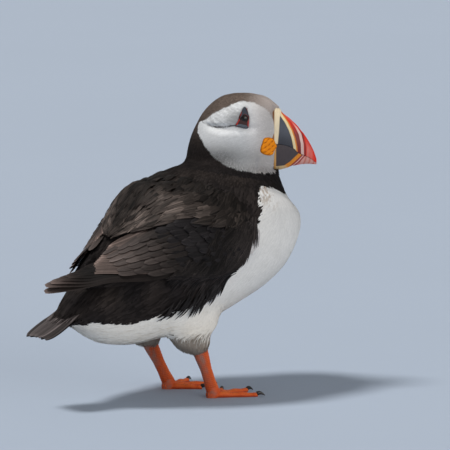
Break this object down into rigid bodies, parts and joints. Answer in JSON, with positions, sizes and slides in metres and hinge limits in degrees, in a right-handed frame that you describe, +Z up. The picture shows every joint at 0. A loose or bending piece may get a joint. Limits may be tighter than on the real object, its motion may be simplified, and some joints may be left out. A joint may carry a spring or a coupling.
{
  "type": "bird model",
  "caption": "Life-size standing Atlantic puffin, wings folded, head turned to its right, tall banded bill, webbed feet flat on the floor.",
  "frame": {"origin": "middle of the bounding box in plan, at the level of the soles", "axes": "+X the way the body faces, +Y the bird's left, +Z up"},
  "size_m": [0.195, 0.1056, 0.1904],
  "materials": {
    "plumage_black": "soft short feathers, brownish black",
    "plumage_white": "soft short feathers, white",
    "plumage_grey": "loose downy feathers, grey-brown",
    "flight_feather": "firm vanes, faint sheen",
    "bill_horn": "grooved horn, satin",
    "plate_horn": "blue-grey horn, dull",
    "gape_skin": "wrinkled orange skin",
    "eye": "wet, dark brown",
    "leg_skin": "scaled skin and web, satin",
    "claw": "black horn"
  },
  "bodies": {
    "root": {"bill_lower": "bill_horn", "bill_upper": "bill_horn", "breast_belly": "plumage_white", "cheek_left": "plumage_white", "cheek_right": "plumage_white", "claw_inner_left": "claw", "claw_inner_right": "claw", "claw_middle_left": "claw", "claw_middle_right": "claw", "claw_outer_left": "claw", "claw_outer_right": "claw", "eye_left": "eye", "eye_plate_lower_left": "plate_horn", "eye_plate_lower_right": "plate_horn", "eye_plate_upper_left": "plate_horn", "eye_plate_upper_right": "plate_horn", "eye_right": "eye", "foot_left": "leg_skin", "foot_right": "leg_skin", "gape_rosette_left": "gape_skin", "gape_rosette_right": "gape_skin", "head": "plumage_black", "neck": "plumage_black", "tail": "flight_feather", "tarsus_left": "leg_skin", "tarsus_right": "leg_skin", "thigh_left": "plumage_grey", "thigh_right": "plumage_grey", "trunk": "plumage_black", "wing_left": "flight_feather", "wing_right": "flight_feather"}
  },
  "joints": []
}
